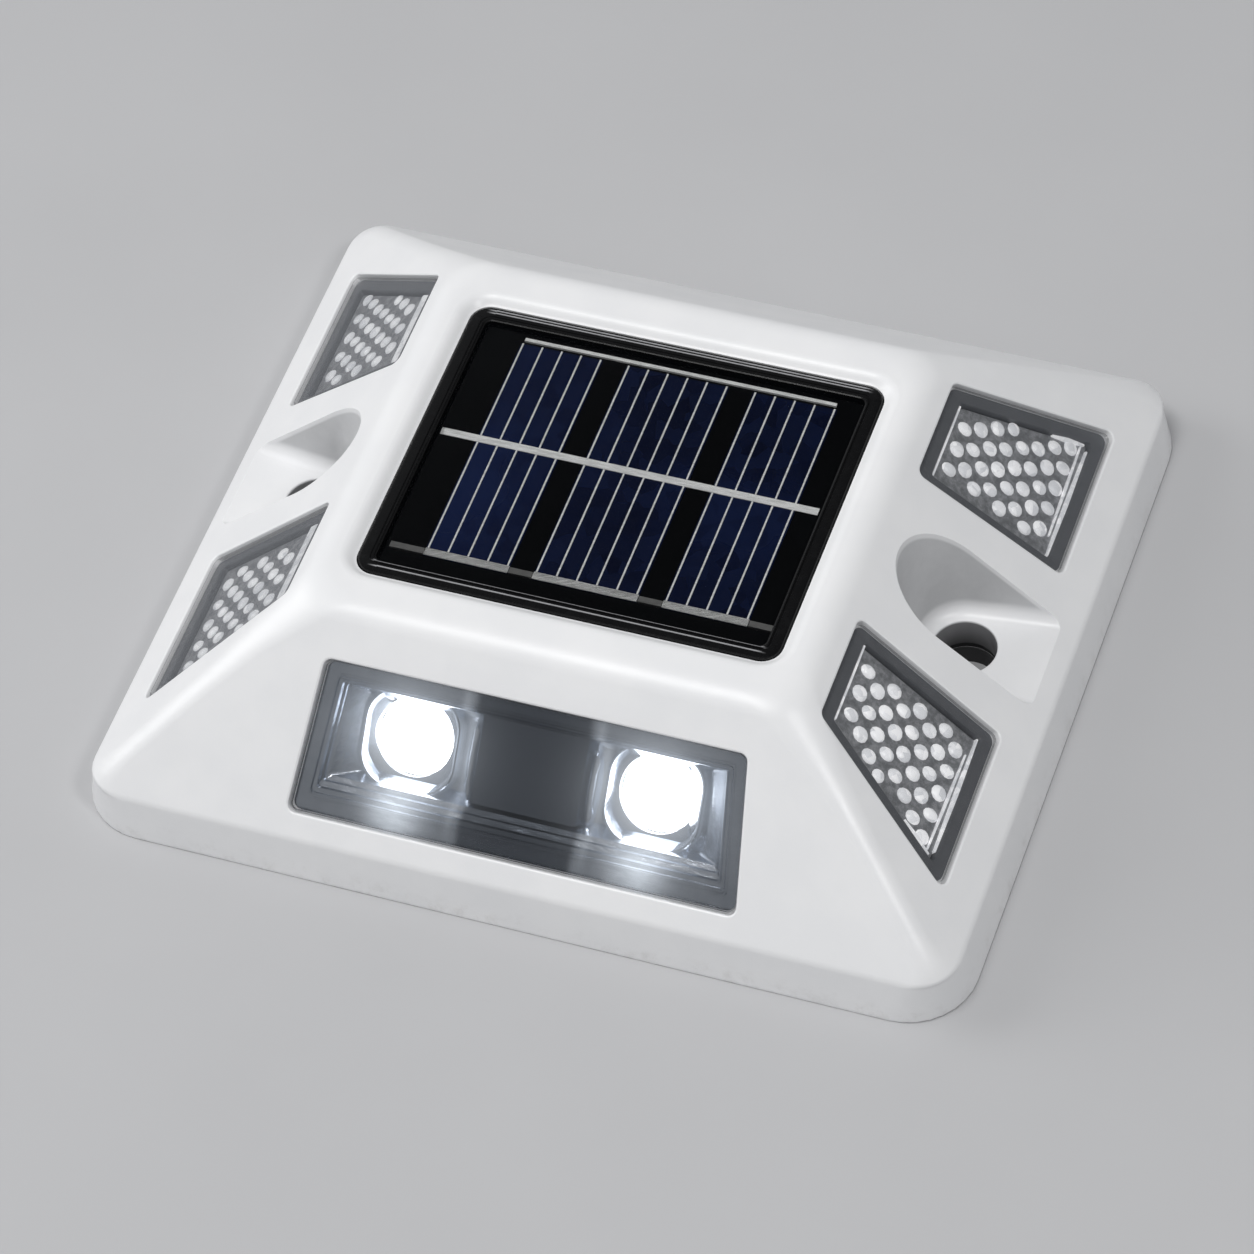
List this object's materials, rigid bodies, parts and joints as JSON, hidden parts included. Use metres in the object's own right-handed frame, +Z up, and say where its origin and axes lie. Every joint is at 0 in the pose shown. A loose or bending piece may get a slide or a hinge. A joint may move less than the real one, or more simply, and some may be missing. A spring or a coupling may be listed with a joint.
{
  "type": "raised pavement marker",
  "caption": "Low white road marker with a solar panel on top, a lit window at the front, bead reflectors at the sides and a screw pocket at each end.",
  "frame": {"origin": "centre of the underside, on the road surface", "axes": "+Z up from the road, +X along the row of the two screw holes, -Y towards the lit window"},
  "size_m": [0.12, 0.105, 0.029],
  "materials": {
    "white_shell": "smooth moulded, low gloss",
    "base_plastic": "moulded, faint grain",
    "seal_rubber": "matte",
    "screw_steel": "satin",
    "black_bezel": "semi-gloss",
    "board_black": "coated board",
    "cell_silicon": "smooth, dark blue",
    "silver_print": "printed silver",
    "tinned_ribbon": "tinned, dull",
    "panel_cover": "clear, glossy",
    "clear_window": "clear, smoky",
    "bright_tray": "metallised",
    "light_lens": "clear, lit",
    "board_green": "solder mask",
    "bright_beads": "metallised beads",
    "grey_cup": "moulded",
    "battery_wrap": "shrink sleeve",
    "chip_plastic": "moulded",
    "copper_coil": "enamelled winding",
    "capacitor_sleeve": "shrink sleeve",
    "red_wire": "insulated",
    "black_wire": "insulated",
    "button_plastic": "moulded"
  },
  "bodies": {
    "housing": {"top_shell": "white_shell", "base_plate": "base_plastic", "base_gasket": "seal_rubber", "tube_seals": "seal_rubber", "panel_seal": "seal_rubber", "button_ring": "seal_rubber", "base_screws": "screw_steel", "light_screws_front": "screw_steel", "board_screws": "screw_steel", "panel_bezel": "black_bezel", "battery_holder": "black_bezel", "switch_body": "black_bezel", "panel_board": "board_black", "solar_cells": "cell_silicon", "cell_fingers": "silver_print", "bus_bars": "silver_print", "link_ribbons": "tinned_ribbon", "battery_contacts": "tinned_ribbon", "panel_glass": "panel_cover", "window_front": "clear_window", "cover_front_left": "clear_window", "cover_front_right": "clear_window", "cover_back_left": "clear_window", "cover_back_right": "clear_window", "light_tray_front": "bright_tray", "lights_front": "light_lens", "light_board_front": "board_green", "main_board": "board_green", "beads_front_left": "bright_beads", "beads_front_right": "bright_beads", "beads_back_left": "bright_beads", "beads_back_right": "bright_beads", "cup_front_left": "grey_cup", "cup_front_right": "grey_cup", "cup_back_left": "grey_cup", "cup_back_right": "grey_cup", "battery": "battery_wrap", "controller_chip": "chip_plastic", "coil": "copper_coil", "capacitor": "capacitor_sleeve", "panel_wires": "red_wire", "battery_wires": "red_wire", "light_wires_front": "black_wire"},
    "button": {"power_button": "button_plastic"}
  },
  "joints": [
    {"name": "button_press", "type": "slide", "parent": "housing", "child": "button", "axis": [0, 0, 1], "range_m": [0, 0.0018], "stiffness_N_per_m": 300, "springref_m": -0.002}
  ]
}
